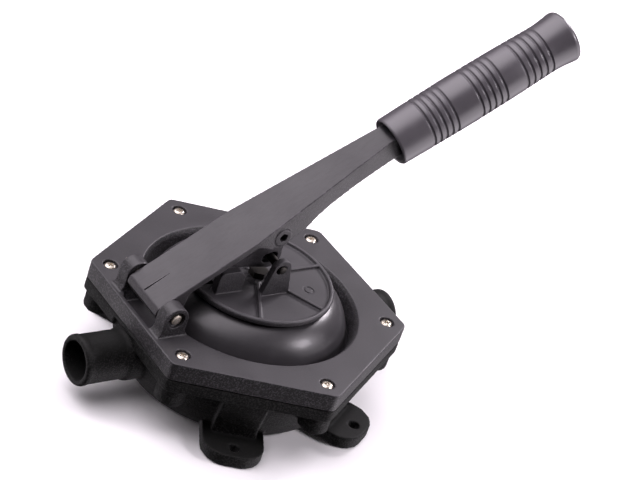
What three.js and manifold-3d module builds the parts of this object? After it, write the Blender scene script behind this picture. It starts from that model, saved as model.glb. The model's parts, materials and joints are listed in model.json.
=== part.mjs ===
// Manual diaphragm bilge pump: a bowl with two ports and four feet, a hexagonal clamp ring,
// a rubber diaphragm between two plates, a hand lever and two flap valves.
// Millimetres. +Z is up, +X runs along the ports towards the lever's grip, +Y is the lever's pivot.
// The origin is the centre of the pump body's underside.
import * as THREE from 'three';
import { mergeVertices } from 'three/addons/utils/BufferGeometryUtils.js';
import Module from 'manifold-3d';

const wasm = await Module();
wasm.setup();

// Driving dimensions
const GAP = 0.3;                  // clearance left between pieces that touch
const RING_TOP = 54;              // height of the clamp ring's top face
const RING_THICK = 11;
const RING_BOTTOM = RING_TOP - RING_THICK;
const CORNER_R = 95;              // centre to corner of the hexagon
const CORNER_ROUND = 5;
const OPENING_R = 64.5;           // opening in the clamp ring
const SCREW_CIRCLE_R = 83;
const SCREW_R = 1.75;
const SCREW_HEAD_R = 3.4;
const SCREW_RECESS_R = 4.4;
const SCREW_RECESS_DEEP = 2.6;
const SCREW_BOSS_R = 9;
const SCREW_COUNT = 6;
const FLANGE_TOP = RING_BOTTOM - GAP;
const FLANGE_BOTTOM = 35;
const FLOOR_Z = 4.5;              // inside floor of the bowl
const SEAT_STEP_Z = 39.5;         // step in the flange that the diaphragm's edge lies on
const SEAT_STEP_R = 73.3;
const PORT_Z = 23;
const PORT_R = 14.3;              // 1 1/8 inch hose spigot
const PORT_BORE_R = 11.25;
const PORT_END = 110;
const FOOT_ANGLES = [60, 120, 240, 300];
const FOOT_TIP_R = 93;
const FOOT_HALF = 18;
const FOOT_THICK = 7.5;
const FOOT_CORNER = 14;
const FOOT_HOLE_R = 3.25;
const FOOT_HOLE_AT = 85;
const PIVOT = [-70, RING_TOP + 11];     // x and z of the lever's pivot
const PIVOT_PIN_R = 3.175;
const LUG_INNER = 17;
const LUG_OUTER = 26;
const LUG_R = 7.7;
const LUG_DISH_R = 5.1;                 // dish round the pin's head
const LUG_DISH_DEEP = 2.2;
const NOSE_RECESS_DEEP = 7.5;           // recess in the ring for the lever's nose
const LEVER_TILT = 34.8;                // degrees above level with the lever at rest
const LEVER_TOP = 5;                    // lever's top face above the pivot, square to the lever
const LEVER_HALF = 16;
const LEVER_HALF_AT_GRIP = 7.3;
const LEVER_TAPER_FROM = 64;
const LEVER_WALL = 3.4;
const LEVER_SPARE_HOLE = [77, -3.9];    // along the lever and square to it, from the pivot
const LEVER_SPARE_HOLE_R = 2.5;
const GRIP_FROM = 161;
const GRIP_LENGTH = 126.5;
const GRIP_DROP = -3.6;                 // grip's axis below the pivot's level at its mouth
const GRIP_TILT = 2.65;
const GRIP_GROOVES = [[0.167, 0.297], [0.435, 0.57], [0.69, 0.835]];  // shares of its length
const GROOVES_IN_BAND = 5;
const GROOVE_HALF = 1.1;
const GROOVE_DEEP = 0.9;
const TANG_HALF = 6.3;
const LINK_PIN = [0.8, RING_TOP + 30];  // x and z of the pin that joins lever and piston
const LINK_PIN_R = 2.5;
const EAR_INNER = 14;
const EAR_OUTER = 18;
const PLATE_R = 46;
const PLATE_FLOOR = RING_TOP + 13;
const PLATE_RIM = RING_TOP + 15;
const PLATE_HUB_R = 10;
const DIAPHRAGM_MID = RING_TOP + 9.3;   // middle of the rubber where the plates clamp it
const RUBBER = 2.4;
const LOWER_PLATE_R = 40;
const LOWER_PLATE_THICK = 4;
const BOLT_R = 3;
const VALVE_Z = 22.5;
const INLET_SEAT_X = -64.2;
const OUTLET_SEAT_X = 57.3;
const SEAT_THICK = 3;
const FLAP_THICK = 2;
const FLAP_R = 10.2;
const FLAP_HINGE = 9.5;                 // hinge bead above the valve's centre
const FLAP_BELOW = 2;                   // flap's centre below the valve's centre
const VALVE_SCREW = [11, 11];           // sideways and up from the valve's centre

const RAD = Math.PI / 180;

const MATERIALS = {
  charcoal: new THREE.MeshStandardMaterial({ color: 0x3a363d, roughness: 0.5, metalness: 0 }),
  grip: new THREE.MeshStandardMaterial({ color: 0x2c2a30, roughness: 0.42, metalness: 0 }),
  rubber: new THREE.MeshStandardMaterial({ color: 0x1b1a1d, roughness: 0.3, metalness: 0 }),
  valve: new THREE.MeshStandardMaterial({ color: 0x47444a, roughness: 0.55, metalness: 0 }),
  steel: new THREE.MeshStandardMaterial({ color: 0xcfccc6, roughness: 0.28, metalness: 1 }),
};

// ---------- solids ----------

function solid(geometry) {
  geometry.deleteAttribute('normal');
  geometry.deleteAttribute('uv');
  const merged = mergeVertices(geometry, 1e-4);
  return new wasm.Manifold(new wasm.Mesh({
    numProp: 3,
    vertProperties: new Float32Array(merged.attributes.position.array),
    triVerts: new Uint32Array(merged.index.array),
  }));
}

function join(first, ...others) {
  return others.reduce((whole, other) => whole.add(other), first);
}

function cut(first, ...others) {
  return others.reduce((whole, other) => whole.subtract(other), first);
}

function part(name, body, material, group) {
  const made = body.getMesh();
  const geometry = new THREE.BufferGeometry();
  geometry.setAttribute('position', new THREE.BufferAttribute(made.vertProperties, 3));
  geometry.setIndex(new THREE.BufferAttribute(made.triVerts, 1));
  geometry.computeVertexNormals();
  const mesh = new THREE.Mesh(geometry, material);
  mesh.name = name;
  group.add(mesh);
  return mesh;
}

function block(x0, x1, y0, y1, z0, z1) {
  const geometry = new THREE.BoxGeometry(x1 - x0, y1 - y0, z1 - z0);
  geometry.translate((x0 + x1) / 2, (y0 + y1) / 2, (z0 + z1) / 2);
  return solid(geometry);
}

// A closed outline of [radius, height] points turned about +Z. The outline runs anticlockwise.
function turned(outline, segments = 40) {
  const points = outline.map(([r, z]) => new THREE.Vector2(r, z));
  if (outline[0][0] > 0 || outline.at(-1)[0] > 0) {
    points.push(points[0].clone());
  }
  const geometry = new THREE.LatheGeometry(points, segments);
  geometry.rotateX(Math.PI / 2);
  return solid(geometry);
}

function shapeOf(points) {
  return new THREE.Shape(points.map(([a, b]) => new THREE.Vector2(a, b)));
}

// An outline in X and Y raised from z0 to z1, with an optional chamfer on its edges.
function raised(points, z0, z1, chamfer = 0) {
  const geometry = new THREE.ExtrudeGeometry(shapeOf(points), {
    depth: z1 - z0 - 2 * chamfer,
    bevelEnabled: chamfer > 0,
    bevelThickness: chamfer,
    bevelSize: chamfer,
    bevelOffset: -chamfer,
    bevelSegments: 1,
  });
  geometry.translate(0, 0, z0 + chamfer);
  return solid(geometry);
}

// An outline in X and Z, given anticlockwise seen from -Y, made from y0 to y1.
function across(points, y0, y1, chamfer = 0) {
  const geometry = new THREE.ExtrudeGeometry(shapeOf(points), {
    depth: y1 - y0 - 2 * chamfer,
    bevelEnabled: chamfer > 0,
    bevelThickness: chamfer,
    bevelSize: chamfer,
    bevelOffset: -chamfer,
    bevelSegments: 1,
  });
  geometry.rotateX(Math.PI / 2);
  geometry.translate(0, y1 - chamfer, 0);
  return solid(geometry);
}

function rodZ(radius, z0, z1, x = 0, y = 0, segments = 24) {
  const geometry = new THREE.CylinderGeometry(radius, radius, z1 - z0, segments);
  geometry.rotateX(Math.PI / 2);
  geometry.translate(x, y, (z0 + z1) / 2);
  return solid(geometry);
}

function rodY(radius, y0, y1, x, z, segments = 24) {
  const geometry = new THREE.CylinderGeometry(radius, radius, y1 - y0, segments);
  geometry.translate(x, (y0 + y1) / 2, z);
  return solid(geometry);
}

function rodX(radius, x0, x1, y, z, segments = 32) {
  const geometry = new THREE.CylinderGeometry(radius, radius, x1 - x0, segments);
  geometry.rotateZ(Math.PI / 2);
  geometry.translate((x0 + x1) / 2, y, z);
  return solid(geometry);
}

function spun(body, degrees) {
  return body.rotate([0, 0, degrees]);
}

function arc(cx, cy, radius, from, to, steps) {
  const points = [];
  for (let i = 0; i <= steps; i += 1) {
    const a = (from + ((to - from) * i) / steps) * RAD;
    points.push([cx + radius * Math.cos(a), cy + radius * Math.sin(a)]);
  }
  return points;
}

// A regular hexagon with rounded corners, one corner at 30 degrees.
function hexagon(cornerR, roundR, steps = 3) {
  const points = [];
  for (let i = 0; i < 6; i += 1) {
    const at = 30 + 60 * i;
    const centre = cornerR - roundR / Math.cos(30 * RAD);
    points.push(...arc(centre * Math.cos(at * RAD), centre * Math.sin(at * RAD), roundR,
      at - 30, at + 30, steps));
  }
  return points;
}

function screwPlaces() {
  return Array.from({ length: SCREW_COUNT }, (_, i) => {
    const a = (30 + 60 * i) * RAD;
    return [SCREW_CIRCLE_R * Math.cos(a), SCREW_CIRCLE_R * Math.sin(a)];
  });
}

// ---------- pump body ----------

const BOWL_OUTSIDE = [
  [0, 0], [60, 0], [64, 1.8], [68.5, 8], [72.5, 16], [75.5, 25], [77, 34], [77, FLANGE_TOP],
  [0, FLANGE_TOP],
];
const BOWL_INSIDE = [
  [0, FLOOR_Z], [51, FLOOR_Z], [57, 6.5], [61.5, 11], [65, 18], [67, 27], [67, 34],
  [65, SEAT_STEP_Z - 2], [65, FLANGE_TOP + 1], [0, FLANGE_TOP + 1],
];

function foot(angle) {
  const reach = FOOT_TIP_R - FOOT_CORNER;
  const side = FOOT_HALF - FOOT_CORNER;
  const plan = [
    [45, -FOOT_HALF], ...arc(reach, -side, FOOT_CORNER, -90, 0, 5),
    ...arc(reach, side, FOOT_CORNER, 0, 90, 5), [45, FOOT_HALF],
  ];
  const riserSide = [[50, 1], [74, 1], [74, FOOT_THICK], [73.5, 13], [75, 20], [78.5, 28],
    [80, FLANGE_BOTTOM + 1], [50, FLANGE_BOTTOM + 1]];
  const riser = across(riserSide, -13, 13);
  return spun(join(raised(plan, 0, FOOT_THICK, 0.8), riser), angle);
}

function spigot(side) {
  const outside = [
    [0, 60], [PORT_R + 1.2, 60], [PORT_R + 1.2, 80], [PORT_R, 83], [PORT_R, PORT_END - 5],
    [PORT_R + 0.5, PORT_END - 3.5], [PORT_R + 0.5, PORT_END - 1.2], [PORT_R - 0.6, PORT_END],
    [0, PORT_END],
  ];
  return turned(outside, 28).rotate([0, 90 * side, 0]).translate([0, 0, PORT_Z]);
}

function pumpBody() {
  const bowl = turned(BOWL_OUTSIDE);
  const recesses = [0, 180].map((a) => spun(block(80.3, 90, -12, 12, 30, FLANGE_TOP - 2.5), a));
  const flange = cut(raised(hexagon(CORNER_R, CORNER_ROUND), FLANGE_BOTTOM, FLANGE_TOP, 0.6),
    ...recesses);
  const bosses = screwPlaces().map(([x, y]) => rodZ(SCREW_BOSS_R, 24, FLANGE_BOTTOM + 1, x, y, 16));
  const hollow = turned(BOWL_INSIDE);
  const step = rodZ(SEAT_STEP_R, SEAT_STEP_Z, FLANGE_TOP + 1, 0, 0, 40);
  const pilots = screwPlaces().map(([x, y]) => rodZ(SCREW_R + GAP, 27, FLANGE_TOP + 1, x, y, 12));
  const envelope = turned(BOWL_OUTSIDE);
  const inletBlock = block(-76, INLET_SEAT_X - GAP, -18, 18, 1, 38.5).intersect(envelope);
  const outletBlock = block(OUTLET_SEAT_X - 0.5, 76, -18, 18, 1, 38.5).intersect(envelope);
  const inletPocket = block(INLET_SEAT_X - GAP, -40, -15.2, 15.2, 9, 36);
  const chamberLimit = turned(BOWL_INSIDE.slice(0, 7).concat([[67, 36], [0, 36]]), 32);
  const chamber = block(OUTLET_SEAT_X - 2, 76, -15, 15, 9, 36).intersect(
    chamberLimit.translate([2.5, 0, 0]),
  );
  const flapRoom = rodX(FLAP_R + 1.4, OUTLET_SEAT_X + SEAT_THICK, 71.5, 0,
    VALVE_Z - FLAP_BELOW + 0.5);
  const footHoles = FOOT_ANGLES.map((a) => spun(
    rodZ(FOOT_HOLE_R, -1, FOOT_THICK + 1, FOOT_HOLE_AT, 0, 20), a,
  ));
  const shell = join(bowl, flange, ...bosses, ...FOOT_ANGLES.map(foot), spigot(1), spigot(-1));
  const lined = join(cut(shell, hollow), inletBlock, outletBlock);
  return cut(lined, step, inletPocket, chamber, flapRoom, ...pilots, ...footHoles,
    rodX(PORT_BORE_R, -PORT_END - 1, INLET_SEAT_X, 0, PORT_Z),
    rodX(PORT_BORE_R, 64, PORT_END + 1, 0, PORT_Z));
}

// ---------- clamp ring and its screws ----------

function lug(side) {
  const [px, pz] = PIVOT;
  const outline = [
    [px - LUG_R - 1, RING_TOP - 1], [px + LUG_R + 1, RING_TOP - 1], [px + LUG_R, RING_TOP + 4],
    ...arc(px, pz, LUG_R, 0, 180, 10), [px - LUG_R, RING_TOP + 4],
  ];
  const y0 = side > 0 ? LUG_INNER : -LUG_OUTER;
  return across(outline, y0, y0 + LUG_OUTER - LUG_INNER, 0.5);
}

function clampRing() {
  const [px, pz] = PIVOT;
  const plate = raised(hexagon(CORNER_R, CORNER_ROUND), RING_BOTTOM, RING_TOP, 1);
  const opening = turned([
    [0, RING_BOTTOM - 1], [62, RING_BOTTOM - 1], [62, RING_BOTTOM + 1.5],
    [OPENING_R - 1.6, RING_BOTTOM + 5], [OPENING_R - 0.6, RING_TOP - 2.5],
    [OPENING_R + 1, RING_TOP], [OPENING_R + 1, RING_TOP + 1], [0, RING_TOP + 1],
  ], 48);
  const noseRecess = block(-79.5, -58, -LUG_INNER, LUG_INNER, RING_TOP - NOSE_RECESS_DEEP,
    RING_TOP + 1);
  const holes = screwPlaces().flatMap(([x, y]) => [
    rodZ(SCREW_R + GAP, RING_BOTTOM - 1, RING_TOP + 1, x, y, 12),
    rodZ(SCREW_RECESS_R, RING_TOP - SCREW_RECESS_DEEP, RING_TOP + 1, x, y, 16),
  ]);
  const pinHole = rodY(PIVOT_PIN_R + GAP, -40, 40, px, pz);
  const dish = rodY(LUG_DISH_R, -40, LUG_DISH_DEEP - LUG_OUTER, px, pz);
  return cut(join(cut(plate, opening, noseRecess), lug(1), lug(-1)), ...holes, pinHole, dish);
}

function ringScrew() {
  const headFrom = RING_TOP - SCREW_RECESS_DEEP + GAP;
  const head = turned([
    [0, headFrom], [SCREW_HEAD_R, headFrom], [SCREW_HEAD_R, headFrom + 1.3],
    [SCREW_HEAD_R - 0.7, headFrom + 2], [0, headFrom + 2.3],
  ], 16);
  const shank = turned([
    [0, 27.5], [0.6, 27.5], [SCREW_R, 30], [SCREW_R, headFrom + 0.5], [0, headFrom + 0.5],
  ], 10);
  const slots = [0, 90].map((a) => spun(
    block(-2, 2, -0.4, 0.4, headFrom + 1.1, headFrom + 3), a,
  ));
  return cut(join(head, shank), ...slots);
}

// ---------- diaphragm, plates and their bolt ----------

const DIAPHRAGM_LINE = [
  [64, RING_TOP - 12.9], [61.6, RING_TOP - 12.6], [59.8, RING_TOP - 11], [58.6, RING_TOP - 8],
  [57.4, RING_TOP - 4.5], [55.6, RING_TOP - 1], [53.2, RING_TOP + 2.2], [50, RING_TOP + 5.2],
  [46.4, RING_TOP + 7.6], [42.5, RING_TOP + 9], [39.5, DIAPHRAGM_MID],
];

function diaphragm() {
  const half = RUBBER / 2;
  const curve = new THREE.CatmullRomCurve3(
    DIAPHRAGM_LINE.map(([r, z]) => new THREE.Vector3(r, z, 0)), false, 'centripetal',
  );
  const steps = 8;
  const upper = [];
  const lower = [];
  for (let i = 0; i <= steps; i += 1) {
    const p = curve.getPoint(i / steps);
    const t = curve.getTangent(i / steps);
    upper.push([p.x + t.y * half, p.y - t.x * half]);
    lower.push([p.x - t.y * half, p.y + t.x * half]);
  }
  const hole = BOLT_R + GAP;
  const outline = [
    [hole, DIAPHRAGM_MID - half], ...lower.reverse(),
    [69, SEAT_STEP_Z + GAP], [73, SEAT_STEP_Z + GAP], [73, FLANGE_TOP], [69, FLANGE_TOP],
    ...upper, [hole, DIAPHRAGM_MID + half],
  ];
  return turned(outline, 36);
}

function ear(side) {
  const [x, z] = LINK_PIN;
  const outline = [
    [x - 9.5, PLATE_FLOOR - 1], [x + 9.5, PLATE_FLOOR - 1], [x + 9.5, PLATE_FLOOR + 1.5],
    ...arc(x, z, 6, 14, 166, 8), [x - 9.5, PLATE_FLOOR + 1.5],
  ];
  const y0 = side > 0 ? EAR_INNER : -EAR_OUTER;
  return across(outline, y0, y0 + EAR_OUTER - EAR_INNER, 0.4);
}

function fin(side) {
  const outline = [
    [-36, PLATE_FLOOR - 1], [-18, PLATE_FLOOR - 1], [-18, PLATE_FLOOR + 10],
    [-22, PLATE_FLOOR + 14], ...arc(-32, PLATE_FLOOR + 10, 4, 90, 180, 3),
  ];
  const y0 = side > 0 ? 6 : -11;
  return across(outline, y0, y0 + 5, 0.4);
}

function pistonPlate() {
  const from = DIAPHRAGM_MID + RUBBER / 2 + GAP;
  const disc = turned([
    [0, from], [PLATE_R - 1.2, from], [PLATE_R, from + 1.2], [PLATE_R, PLATE_RIM - 0.8],
    [PLATE_R - 0.8, PLATE_RIM], [PLATE_R - 2.2, PLATE_RIM], [PLATE_R - 2.8, PLATE_FLOOR],
    [0, PLATE_FLOOR],
  ]);
  const ribs = [0, 60, 120, 180, 240, 300].map((a) => spun(
    block(6, PLATE_R - 2, -1, 1, PLATE_FLOOR - 1, PLATE_RIM - 0.3), a,
  ));
  const hub = rodZ(PLATE_HUB_R, PLATE_FLOOR - 1, PLATE_FLOOR + 0.8);
  const [x, z] = LINK_PIN;
  const pinHole = join(rodY(LINK_PIN_R + GAP, -30, 30, x, z),
    rodY(LINK_PIN_R + GAP, -30, 30, x - 1.4, z));
  return cut(join(disc, ...ribs, hub, ear(1), ear(-1), fin(1), fin(-1)),
    rodZ(BOLT_R + GAP, from - 1, PLATE_RIM + 5), pinHole);
}

function lowerPlate() {
  const top = DIAPHRAGM_MID - RUBBER / 2 - GAP;
  const from = top - LOWER_PLATE_THICK;
  return cut(turned([
    [0, from], [LOWER_PLATE_R - 3, from], [LOWER_PLATE_R, from + 2.6],
    [LOWER_PLATE_R - 1, top], [0, top],
  ]), rodZ(BOLT_R + GAP, from - 1, top + 1));
}

function hexPrism(acrossFlats, z0, z1) {
  return rodZ(acrossFlats / 2 / Math.cos(30 * RAD), z0, z1, 0, 0, 6);
}

const BOLT_SEAT = PLATE_FLOOR + 0.8 + GAP;
const STACK_BOTTOM = DIAPHRAGM_MID - RUBBER / 2 - GAP - LOWER_PLATE_THICK;
const WASHER_TOP = STACK_BOTTOM - GAP;
const WASHER_THICK = 1.4;
const NUT_TOP = WASHER_TOP - WASHER_THICK - GAP;
const NUT_THICK = 5;

function centreBolt() {
  return join(hexPrism(10, BOLT_SEAT, BOLT_SEAT + 3.8),
    rodZ(BOLT_R, NUT_TOP - NUT_THICK - 1.5, BOLT_SEAT + 1, 0, 0, 20));
}

function washer(innerR, outerR, z0, z1) {
  return cut(rodZ(outerR, z0, z1), rodZ(innerR, z0 - 1, z1 + 1));
}

function centreNut() {
  return cut(hexPrism(10, NUT_TOP - NUT_THICK, NUT_TOP),
    rodZ(BOLT_R + GAP, NUT_TOP - NUT_THICK - 1, NUT_TOP + 1));
}

// ---------- pins ----------

function pinY(radius, y0, y1, x, z) {
  const round = 0.6;
  return turned([
    [0, y0], [radius - round, y0], [radius, y0 + round], [radius, y1 - round],
    [radius - round, y1], [0, y1],
  ], 24).rotate([-90, 0, 0]).translate([x, 0, z]);
}

function clipY(innerR, outerR, y0, y1, x, z) {
  return cut(rodY(outerR, y0, y1, x, z), rodY(innerR, y0 - 1, y1 + 1, x, z),
    block(x - innerR * 0.7, x + innerR * 0.7, y0 - 1, y1 + 1, z - outerR - 1, z));
}

// ---------- lever and grip, drawn along the lever with the pivot at the origin ----------

function leverArm() {
  const side = [
    [-6, -6], [8, -6], [15, 1.2], [62, 1.2], [67, -6], [74, -10.5], [92, -10.5], [101, -8],
    [112, -6.8], [128, -6.8], [145, -8], [163, -9.6], [168, -9.6], [168, 2.5], [160, LEVER_TOP],
    [-5, LEVER_TOP], [-8, 2], [-8, -3.5],
  ];
  const plan = [
    [-9, -LEVER_HALF], [LEVER_TAPER_FROM, -LEVER_HALF], [160, -LEVER_HALF_AT_GRIP],
    [170, -LEVER_HALF_AT_GRIP], [170, LEVER_HALF_AT_GRIP], [160, LEVER_HALF_AT_GRIP],
    [LEVER_TAPER_FROM, LEVER_HALF], [-9, LEVER_HALF],
  ];
  const inside = LEVER_HALF - LEVER_WALL;
  const insideAtEnd = LEVER_HALF_AT_GRIP + 1.2 - LEVER_WALL;
  const channelPlan = [
    [13, -inside], [LEVER_TAPER_FROM, -inside], [146, -insideAtEnd], [146, insideAtEnd],
    [LEVER_TAPER_FROM, inside], [13, inside],
  ];
  const outside = across(side, -20, 20).intersect(raised(plan, -15, 15, 0));
  const channel = raised(channelPlan, -20, LEVER_TOP - LEVER_WALL);
  const [lu, lw] = toLever(LINK_PIN);
  const lugR = 7.5;
  const web = across([
    [30, 2], [40, -8], ...arc(lu, lw, lugR, 215, 350, 8), [92, -6], [96, 2],
  ], -5, 5);
  const armAngle = Math.atan2(lw, lu) / RAD;
  const reach = [-2.9, -1.2, 0, 1.3];
  const slot = reach.map((d) => rodY(LINK_PIN_R + 0.45, -6, 6,
    lu + d * Math.cos(armAngle * RAD), lw + d * Math.sin(armAngle * RAD)));
  const crossRibs = [115, 132].map((u) => block(u - 1.2, u + 1.2, -11.5, 11.5, -5, 3));
  const ribbed = crossRibs.map((rib) => rib.intersect(raised(plan, -15, 15, 0)));
  const shell = join(cut(outside, channel), web, ...ribbed, tang());
  return cut(shell, rodY(PIVOT_PIN_R + GAP, -20, 20, 0, 0), ...slot,
    rodY(LEVER_SPARE_HOLE_R, -20, 20, ...LEVER_SPARE_HOLE, 20));
}

function tang() {
  const piece = block(-8, 74, -TANG_HALF, TANG_HALF, -TANG_HALF, TANG_HALF);
  return piece.rotate([0, GRIP_TILT, 0]).translate([GRIP_FROM, 0, GRIP_DROP]);
}

function toLever([x, z]) {
  const dx = x - PIVOT[0];
  const dz = z - PIVOT[1];
  const c = Math.cos(LEVER_TILT * RAD);
  const s = Math.sin(LEVER_TILT * RAD);
  return [dx * c + dz * s, dz * c - dx * s];
}

// The grip is drawn upright from its mouth at the origin, then laid along +X.
function grip() {
  const radiusAt = (t) => 14.75 + 0.85 * Math.sin(Math.PI * Math.min(t / 0.85, 1))
    + 2 * Math.max(0, (t - 0.86) / 0.14) ** 1.5;
  const outline = [[0, 0], [13.9, 0], [radiusAt(0), 1]];
  GRIP_GROOVES.forEach(([from, to]) => {
    for (let i = 0; i < GROOVES_IN_BAND; i += 1) {
      const t = from + ((to - from) * i) / (GROOVES_IN_BAND - 1);
      const z = t * GRIP_LENGTH;
      const r = radiusAt(t);
      outline.push([r, z - GROOVE_HALF], [r - GROOVE_DEEP, z], [r, z + GROOVE_HALF]);
    }
  });
  outline.push([radiusAt(0.93), GRIP_LENGTH * 0.93], [16.4, GRIP_LENGTH - 5],
    [15.2, GRIP_LENGTH - 2], [11.5, GRIP_LENGTH - 0.4], [0, GRIP_LENGTH]);
  const outside = turned(outline, 18);
  const mouth = rodZ(12.6, -1, 15, 0, 0, 20);
  const half = TANG_HALF + GAP;
  const socket = block(-half, half, -half, half, 14, 76);
  return cut(outside, mouth, socket).rotate([0, 90, 0]);
}

// ---------- flap valves, drawn with the seat's back face at x = 0 and flow along +X ----------

const BEAD_X = SEAT_THICK + GAP + 1.6;

function valveSeat() {
  const [side, up] = VALVE_SCREW;
  const holes = [-side, side].map((y) => rodX(1.3, 0.6, 5, y, up, 12));
  return cut(block(0, SEAT_THICK, -14.7, 14.7, -13, 13),
    rodX(FLAP_R - 2, -1, 5, 0, -FLAP_BELOW, 24), ...holes);
}

function valveFlap() {
  const x0 = SEAT_THICK + GAP;
  const disc = rodX(FLAP_R, x0, x0 + FLAP_THICK, 0, -FLAP_BELOW, 28);
  const tab = block(x0, x0 + FLAP_THICK, -8.6, 8.6, -FLAP_BELOW, FLAP_HINGE);
  return join(disc, tab, rodY(1.6, -8.6, 8.6, BEAD_X, FLAP_HINGE, 16));
}

function valveRetainer() {
  const x0 = SEAT_THICK + GAP;
  const [side, up] = VALVE_SCREW;
  const holes = [-side, side].map((y) => rodX(1.3, 0, 12, y, up, 12));
  return cut(block(x0, x0 + 4.6, -13.5, 13.5, FLAP_HINGE, 12.7),
    rodY(1.95, -9, 9, BEAD_X, FLAP_HINGE, 16), ...holes);
}

function valveScrew() {
  const headFrom = SEAT_THICK + 4.6 + 2 * GAP;
  return turned([
    [0, 0.9], [1, 0.9], [1, headFrom], [1.9, headFrom], [1.9, headFrom + 0.7],
    [1.2, headFrom + 1.3], [0, headFrom + 1.3],
  ], 12).rotate([0, 90, 0]);
}

// ---------- assembly ----------

const { charcoal, grip: gripPlastic, rubber, valve: valvePlastic, steel } = MATERIALS;
const pump = new THREE.Group();

part('pump_body', pumpBody(), charcoal, pump);
part('clamp_ring', clampRing(), charcoal, pump);
screwPlaces().forEach(([x, y], i) => {
  const screw = part(`ring_screw_${i + 1}`, ringScrew(), steel, pump);
  screw.position.set(x, y, 0);
});

part('diaphragm', diaphragm(), rubber, pump);
part('piston_plate', pistonPlate(), charcoal, pump);
part('lower_plate', lowerPlate(), charcoal, pump);
part('centre_bolt', centreBolt(), steel, pump);
part('centre_washer', washer(BOLT_R + GAP, 9, WASHER_TOP - WASHER_THICK, WASHER_TOP), steel, pump);
part('centre_nut', centreNut(), steel, pump);

part('pivot_pin', pinY(PIVOT_PIN_R, -LUG_OUTER, LUG_OUTER + 3.2, ...PIVOT), steel, pump);
part('pivot_clip', clipY(PIVOT_PIN_R + GAP, 5.6, LUG_OUTER + GAP, LUG_OUTER + 1.5, ...PIVOT),
  steel, pump);
part('link_pin', pinY(LINK_PIN_R, -EAR_OUTER - 1, EAR_OUTER + 3, ...LINK_PIN), steel, pump);
part('link_clip', clipY(LINK_PIN_R + GAP, 4.6, EAR_OUTER + GAP, EAR_OUTER + 1.4, ...LINK_PIN),
  steel, pump);

const lever = new THREE.Group();
lever.position.set(PIVOT[0], 0, PIVOT[1]);
lever.rotation.y = -LEVER_TILT * RAD;
part('lever_arm', leverArm(), charcoal, lever);
const gripMesh = part('grip', grip(), gripPlastic, lever);
gripMesh.position.set(GRIP_FROM, 0, GRIP_DROP);
gripMesh.rotation.y = GRIP_TILT * RAD;
pump.add(lever);

[['inlet', INLET_SEAT_X], ['outlet', OUTLET_SEAT_X]].forEach(([name, x]) => {
  const assembly = new THREE.Group();
  assembly.position.set(x, 0, VALVE_Z);
  part(`${name}_valve_seat`, valveSeat(), valvePlastic, assembly);
  part(`${name}_valve_flap`, valveFlap(), rubber, assembly);
  part(`${name}_valve_retainer`, valveRetainer(), valvePlastic, assembly);
  const [side, up] = VALVE_SCREW;
  [-side, side].forEach((y, i) => {
    const screw = part(`${name}_valve_screw_${i + 1}`, valveScrew(), steel, assembly);
    screw.position.set(0, y, up);
  });
  pump.add(assembly);
});

export default pump;
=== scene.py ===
"""Looks of a hand-lever diaphragm bilge pump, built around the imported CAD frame."""
import json
import math

import bmesh
import bpy
from mathutils import Matrix, Vector


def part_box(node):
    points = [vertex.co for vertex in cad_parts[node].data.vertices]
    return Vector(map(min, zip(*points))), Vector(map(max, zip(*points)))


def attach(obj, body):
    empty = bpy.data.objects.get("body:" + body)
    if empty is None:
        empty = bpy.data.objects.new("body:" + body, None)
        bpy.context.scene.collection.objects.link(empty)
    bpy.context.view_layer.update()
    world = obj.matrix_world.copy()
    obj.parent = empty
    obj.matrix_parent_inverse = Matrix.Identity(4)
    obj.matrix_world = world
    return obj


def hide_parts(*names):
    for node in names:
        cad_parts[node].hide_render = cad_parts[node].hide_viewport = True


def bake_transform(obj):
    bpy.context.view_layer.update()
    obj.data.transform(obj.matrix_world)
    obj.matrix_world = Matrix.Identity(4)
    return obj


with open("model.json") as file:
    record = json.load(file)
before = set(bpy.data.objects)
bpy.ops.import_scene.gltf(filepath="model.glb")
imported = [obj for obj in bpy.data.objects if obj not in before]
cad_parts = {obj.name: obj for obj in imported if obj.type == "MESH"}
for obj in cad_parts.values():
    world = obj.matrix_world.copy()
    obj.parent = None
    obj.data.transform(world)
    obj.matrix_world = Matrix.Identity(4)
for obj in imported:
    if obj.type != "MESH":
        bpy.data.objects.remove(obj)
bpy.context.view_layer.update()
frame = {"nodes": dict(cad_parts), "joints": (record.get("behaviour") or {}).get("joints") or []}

MM = 0.001

# ---------- sizes, in millimetres: the outer ones are read from the frame ----------


def box_mm(node):
    low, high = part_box(node)
    return low / MM, high / MM


RING_LOW, RING_HIGH = box_mm("clamp_ring")
BODY_HIGH = box_mm("pump_body")[1]
PLATE_LOW, PLATE_HIGH = box_mm("piston_plate")
RUBBER_HIGH = box_mm("diaphragm")[1]
PIN_LOW, PIN_HIGH = box_mm("pivot_pin")
LINK_LOW, LINK_HIGH = box_mm("link_pin")
SCREW_LOW, SCREW_HIGH = box_mm("ring_screw_1")

JOINTS = {joint["name"]: joint for joint in frame["joints"]}
PIVOT = Vector(JOINTS["lever_pivot"]["pos_m"]) / MM

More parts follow.
